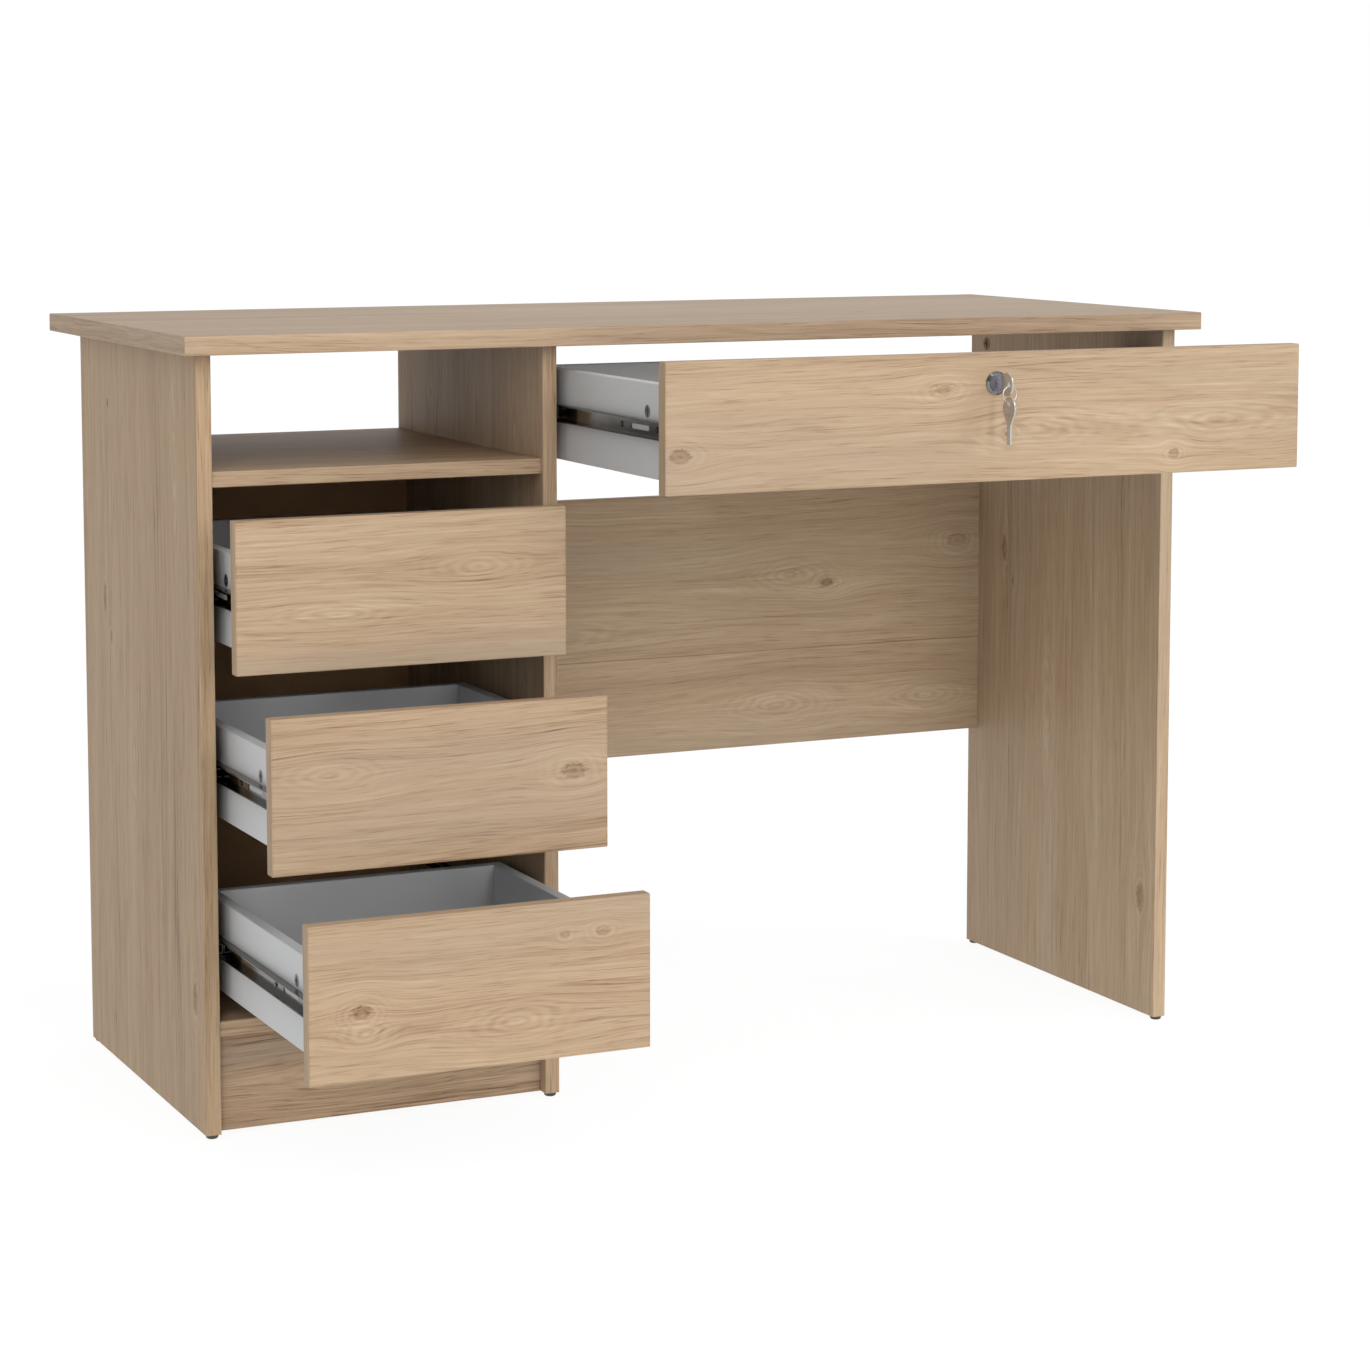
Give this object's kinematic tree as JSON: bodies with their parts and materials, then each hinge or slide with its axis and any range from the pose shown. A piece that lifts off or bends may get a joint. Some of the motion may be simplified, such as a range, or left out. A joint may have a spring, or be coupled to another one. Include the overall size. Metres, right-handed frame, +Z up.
{
  "type": "office desk",
  "caption": "Office desk with an open shelf, a stack of drawers on the left, a wide locking drawer above the knee space and a modesty panel; wood-decor boards on steel slides.",
  "frame": {"origin": "on the floor, below the middle of the object's box with the drawers as pictured", "axes": "+X along the desktop to the user's right, +Y from the user to the back, +Z up"},
  "size_m": [1.1, 0.7434, 0.76],
  "materials": {
    "oak_decor": "matt oak-decor laminate",
    "drawer_foil": "smooth pale grey foil",
    "hardboard": "raw brown hardboard",
    "beech": "raw beech",
    "zinc_steel": "bright zinc plate",
    "case_steel": "plain sheet steel",
    "dark_zinc": "dark die-cast zinc",
    "chrome": "polished chrome",
    "nickel": "nickel plate",
    "dark_plastic": "moulded"
  },
  "bodies": {
    "carcass": {"desktop": "oak_decor", "left_side_panel": "oak_decor", "middle_panel": "oak_decor", "right_side_panel": "oak_decor", "shelf": "oak_decor", "bottom_panel": "oak_decor", "plinth": "oak_decor", "modesty_panel": "oak_decor", "back_panel": "hardboard", "feet": "dark_plastic", "cam_locks": "dark_zinc", "cam_bolts": "zinc_steel", "wood_dowels": "beech", "cabinet_rails": "zinc_steel", "carcass_screws": "zinc_steel", "strike_plate": "case_steel"},
    "upper_drawer": {"upper_drawer_front": "oak_decor", "upper_drawer_left_side": "drawer_foil", "upper_drawer_right_side": "drawer_foil", "upper_drawer_back": "drawer_foil", "upper_drawer_bottom": "drawer_foil", "upper_drawer_rails": "zinc_steel", "upper_drawer_cam_fittings": "dark_zinc", "upper_drawer_screws": "zinc_steel"},
    "upper_cages": {"upper_drawer_ball_cages": "case_steel"},
    "middle_drawer": {"middle_drawer_front": "oak_decor", "middle_drawer_left_side": "drawer_foil", "middle_drawer_right_side": "drawer_foil", "middle_drawer_back": "drawer_foil", "middle_drawer_bottom": "drawer_foil", "middle_drawer_rails": "zinc_steel", "middle_drawer_cam_fittings": "dark_zinc", "middle_drawer_screws": "zinc_steel"},
    "middle_cages": {"middle_drawer_ball_cages": "case_steel"},
    "lower_drawer": {"lower_drawer_front": "oak_decor", "lower_drawer_left_side": "drawer_foil", "lower_drawer_right_side": "drawer_foil", "lower_drawer_back": "drawer_foil", "lower_drawer_bottom": "drawer_foil", "lower_drawer_rails": "zinc_steel", "lower_drawer_cam_fittings": "dark_zinc", "lower_drawer_screws": "zinc_steel"},
    "lower_cages": {"lower_drawer_ball_cages": "case_steel"},
    "wide_drawer": {"wide_drawer_front": "oak_decor", "wide_drawer_left_side": "drawer_foil", "wide_drawer_right_side": "drawer_foil", "wide_drawer_back": "drawer_foil", "wide_drawer_bottom": "drawer_foil", "wide_drawer_rails": "zinc_steel", "wide_drawer_cam_fittings": "dark_zinc", "wide_drawer_screws": "zinc_steel", "lock_case": "case_steel", "lock_rosette": "chrome"},
    "wide_cages": {"wide_drawer_ball_cages": "case_steel"},
    "lock_plug": {"lock_plug": "chrome", "key": "nickel"},
    "lock_bolt": {"lock_bolt": "case_steel"},
    "key_ring": {"key_ring": "nickel"},
    "spare_key": {"spare_key": "nickel"}
  },
  "joints": [
    {"name": "upper_drawer_slide", "type": "slide", "parent": "carcass", "child": "upper_drawer", "axis": [0, -1, 0], "range_m": [-0.061, 0.199]},
    {"name": "upper_cages_slide", "type": "slide", "parent": "carcass", "child": "upper_cages", "axis": [0, -1, 0], "range_m": [-0.0305, 0.0995]},
    {"name": "middle_drawer_slide", "type": "slide", "parent": "carcass", "child": "middle_drawer", "axis": [0, -1, 0], "range_m": [-0.1585, 0.1015]},
    {"name": "middle_cages_slide", "type": "slide", "parent": "carcass", "child": "middle_cages", "axis": [0, -1, 0], "range_m": [-0.07925, 0.05075]},
    {"name": "lower_drawer_slide", "type": "slide", "parent": "carcass", "child": "lower_drawer", "axis": [0, -1, 0], "range_m": [-0.2545, 0.0055]},
    {"name": "lower_cages_slide", "type": "slide", "parent": "carcass", "child": "lower_cages", "axis": [0, -1, 0], "range_m": [-0.12725, 0.00275]},
    {"name": "wide_drawer_slide", "type": "slide", "parent": "carcass", "child": "wide_drawer", "axis": [0, -1, 0], "range_m": [-0.2475, 0.0125]},
    {"name": "wide_cages_slide", "type": "slide", "parent": "carcass", "child": "wide_cages", "axis": [0, -1, 0], "range_m": [-0.12375, 0.00625]},
    {"name": "lock_turn", "type": "hinge", "parent": "wide_drawer", "child": "lock_plug", "pos_m": [0.173, -0.33575, 0.7105], "axis": [0, 1, 0], "range_deg": [0, 90]},
    {"name": "lock_bolt_slide", "type": "slide", "parent": "wide_drawer", "child": "lock_bolt", "axis": [0, 0, 1], "range_m": [0, 0.01]},
    {"name": "key_ring_swing", "type": "hinge", "parent": "lock_plug", "child": "key_ring", "pos_m": [0.173, -0.36075, 0.70875], "axis": [1, 0, 0], "range_deg": [-45, 8]},
    {"name": "spare_key_swing", "type": "hinge", "parent": "key_ring", "child": "spare_key", "pos_m": [0.173, -0.36075, 0.69425], "axis": [1, 0, 0], "range_deg": [-40, 8]}
  ],
  "couplings": [
    {"joint": "upper_cages_slide", "follows": "upper_drawer_slide", "ratio": 0.5},
    {"joint": "middle_cages_slide", "follows": "middle_drawer_slide", "ratio": 0.5},
    {"joint": "lower_cages_slide", "follows": "lower_drawer_slide", "ratio": 0.5},
    {"joint": "wide_cages_slide", "follows": "wide_drawer_slide", "ratio": 0.5},
    {"joint": "lock_bolt_slide", "follows": "lock_turn", "m_per_rad": 0.006366}
  ]
}
